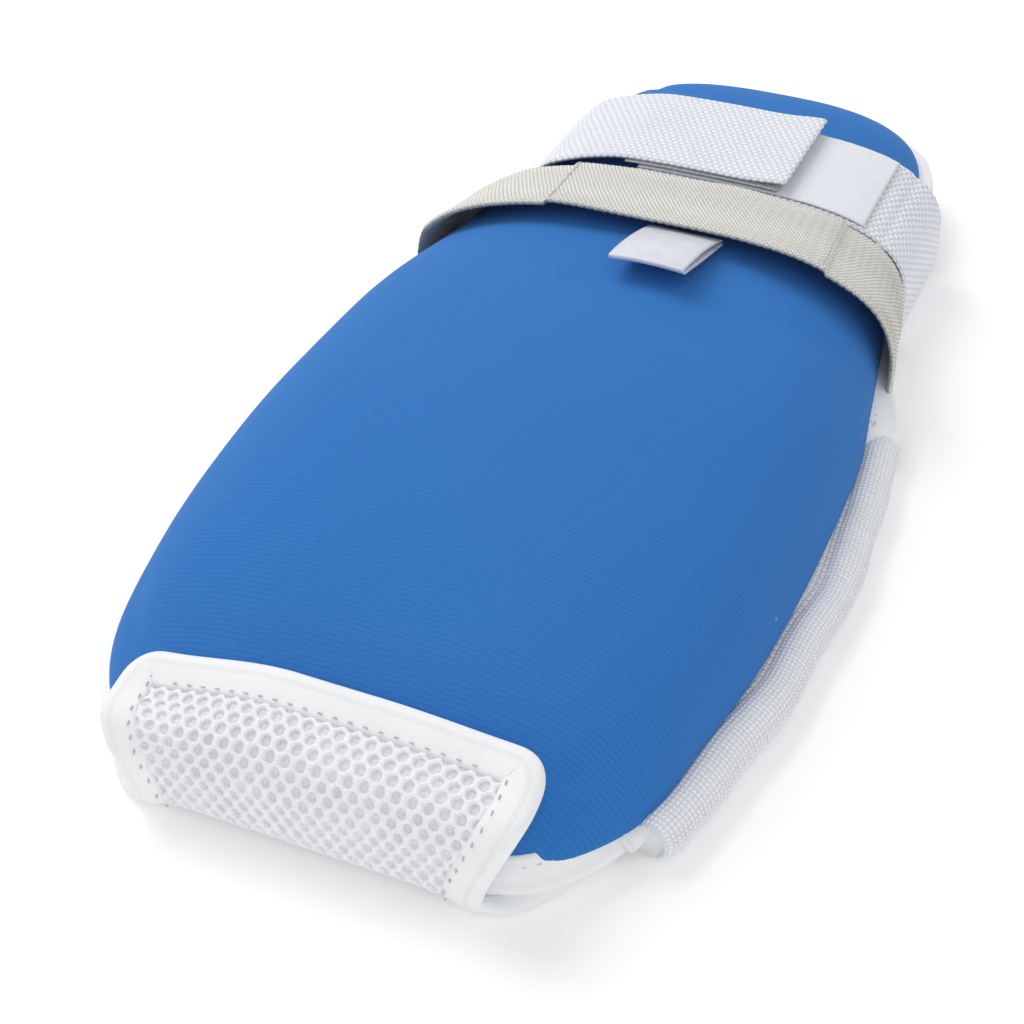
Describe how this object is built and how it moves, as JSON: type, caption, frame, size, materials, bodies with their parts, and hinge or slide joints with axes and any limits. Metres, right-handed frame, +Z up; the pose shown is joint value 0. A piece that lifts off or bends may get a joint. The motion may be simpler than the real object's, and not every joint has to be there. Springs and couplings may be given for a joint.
{
  "type": "padded hand control mitt",
  "caption": "Padded hand mitt with a foam palm pad, mesh back, finger flap, side sleeves and a hook-and-loop wrist strap.",
  "frame": {"origin": "middle of the footprint, on the surface that the mitt lies on, palm pad up", "axes": "+Y along the mitt from the fingers towards the wrist, +Z up out of the palm pad, +X across the hand"},
  "size_m": [0.1549, 0.3094, 0.0495],
  "materials": {
    "palm_knit": "matte",
    "foam": "matte",
    "lining": "matte",
    "binding": "matte",
    "thread": "matte",
    "cream_thread": "matte",
    "hook_tape": "matte",
    "loop_pile": "matte",
    "spacer_mesh": "matte",
    "white_webbing": "satin",
    "strap_tape": "satin",
    "cream_webbing": "matte",
    "satin": "satin"
  },
  "bodies": {
    "mitt": {"palm_cover": "palm_knit", "palm_foam_core": "foam", "palm_lining": "lining", "palm_mouth_binding": "binding", "palm_mouth_stitches": "thread", "palm_cuff_binding": "binding", "palm_hook_patch": "hook_tape", "back_mesh_panel": "spacer_mesh", "back_mouth_binding_left": "binding", "back_mouth_binding_right": "binding", "back_cuff_binding": "binding", "side_seam_left": "binding", "side_seam_right": "binding", "side_sleeve_left": "white_webbing", "side_sleeve_right": "white_webbing", "sleeve_stitches_left": "thread", "sleeve_stitches_right": "thread", "wrist_strap_base": "strap_tape", "webbing_band": "cream_webbing", "band_seam_stitches": "cream_thread"},
    "flap": {"flap_mesh": "spacer_mesh", "flap_binding": "binding", "flap_loop_patch": "loop_pile", "flap_stitches": "thread"},
    "hook_arm": {"hook_arm_tape": "strap_tape", "hook_arm_hooks": "hook_tape"},
    "loop_arm": {"loop_arm_tape": "strap_tape", "loop_arm_pile": "loop_pile"},
    "tab": {"satin_tab": "satin"}
  },
  "joints": [
    {"name": "flap_open", "type": "hinge", "parent": "mitt", "child": "flap", "pos_m": [0, -0.1524, 0.00885], "axis": [1, 0, 0], "range_deg": [0, 85]},
    {"name": "hook_arm_open", "type": "hinge", "parent": "mitt", "child": "hook_arm", "pos_m": [-0.0477, 0.088, 0.0289], "axis": [0, -1, 0], "range_deg": [0, 120]},
    {"name": "loop_arm_open", "type": "hinge", "parent": "mitt", "child": "loop_arm", "pos_m": [0.05137, 0.088, 0.02942], "axis": [0, 1, 0], "range_deg": [0, 36]},
    {"name": "tab_lift", "type": "hinge", "parent": "mitt", "child": "tab", "pos_m": [0.01, 0.0322, 0.0412], "axis": [-1, 0, 0], "range_deg": [-6, 50], "stiffness_Nm_per_rad": 0.0005}
  ],
  "couplings": [
    {"joint": "loop_arm_open", "follows": "hook_arm_open", "ratio": 0.3}
  ]
}
